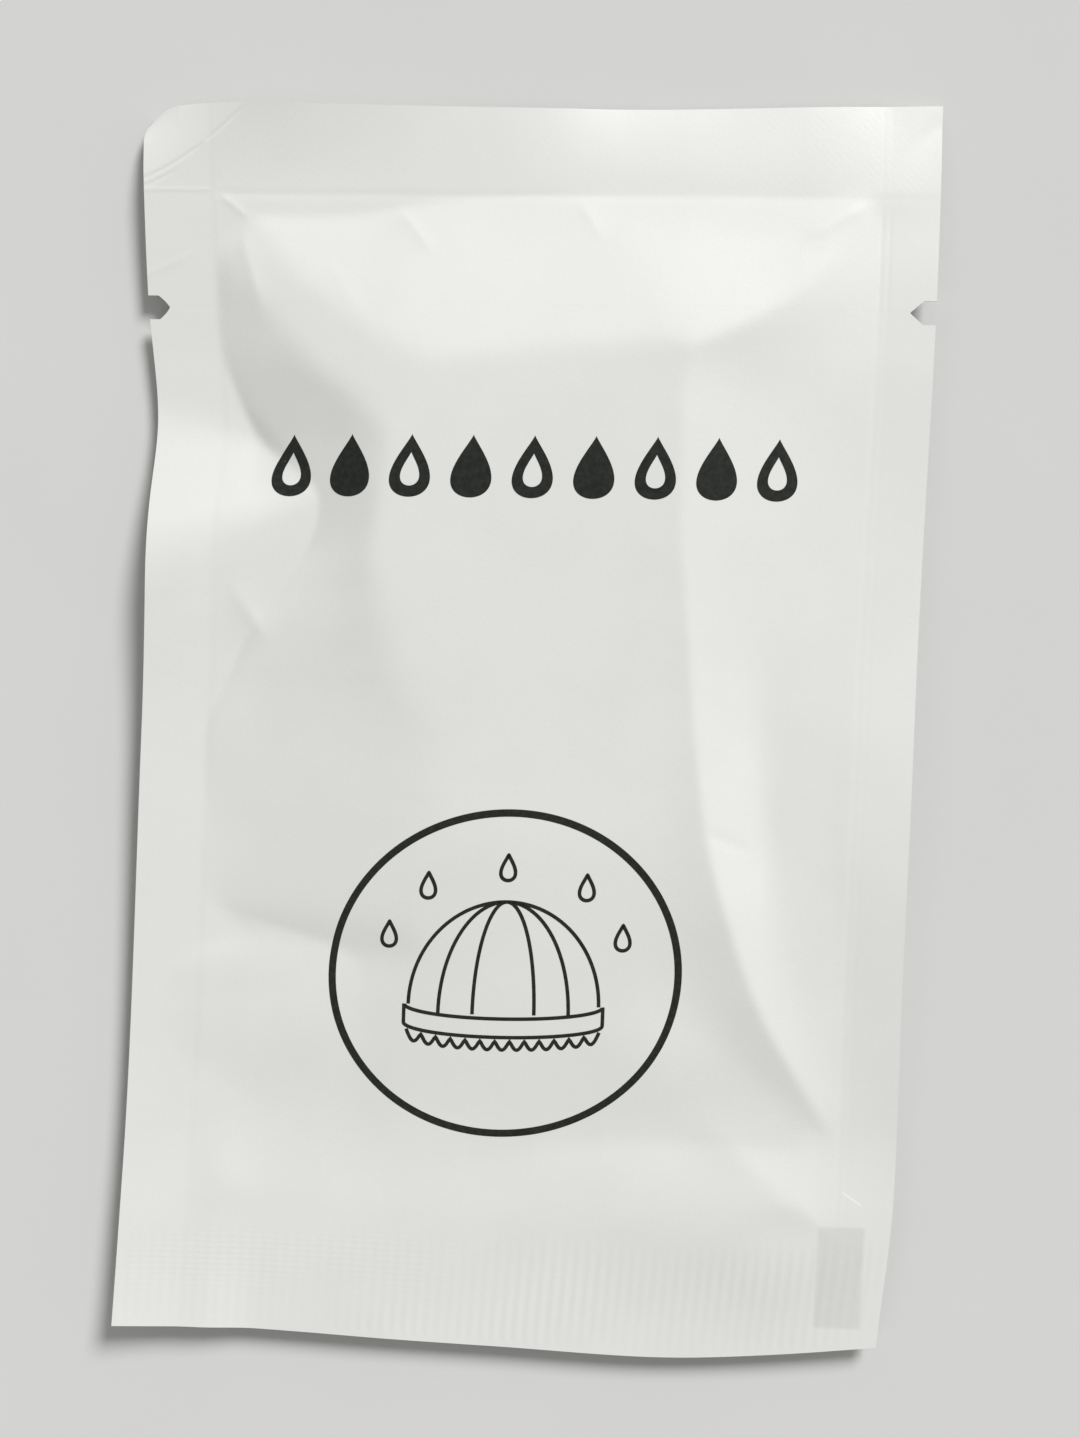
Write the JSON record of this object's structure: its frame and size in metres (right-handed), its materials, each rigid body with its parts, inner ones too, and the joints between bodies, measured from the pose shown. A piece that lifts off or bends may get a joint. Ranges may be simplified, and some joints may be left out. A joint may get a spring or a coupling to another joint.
{
  "type": "sachet with folded shower cap",
  "caption": "Flat heat-sealed paper sachet with notched tear-off end strip, holding a folded elasticated film cap that draws out once it is torn open.",
  "frame": {"origin": "under the middle of the sachet, on the surface that it lies on", "axes": "+Z out of the printed face, +Y towards the tear-off end, +X to the right across the printed face"},
  "size_m": [0.09, 0.142, 0.006],
  "materials": {
    "front_paper": "white satin coated paper, printed in black",
    "back_paper": "white satin coated paper with a black registration mark",
    "sealant": "milky polyethylene heat-seal layer",
    "cap_film": "crinkled milky translucent film",
    "elastic": "white covered elastic, gathered"
  },
  "bodies": {
    "sachet": {"front_panel": "front_paper", "back_panel": "back_paper", "left_side_seal": "sealant", "right_side_seal": "sealant", "bottom_seal": "sealant"},
    "tear_strip": {"strip_front": "front_paper", "strip_back": "back_paper", "strip_left_seal": "sealant", "strip_right_seal": "sealant", "top_seal": "sealant"},
    "cap": {"cap_film": "cap_film", "hem_elastic": "elastic"}
  },
  "joints": [
    {"name": "tear_open", "type": "hinge", "parent": "sachet", "child": "tear_strip", "pos_m": [0.045, 0.0485, 0.0025], "axis": [0, 0, -1], "range_deg": [0, 150]},
    {"name": "cap_draw", "type": "slide", "parent": "sachet", "child": "cap", "axis": [0, 1, 0], "range_m": [0, 0.069]}
  ],
  "couplings": [
    {"joint": "cap_draw", "follows": "tear_open", "m_per_rad": 0.026}
  ]
}
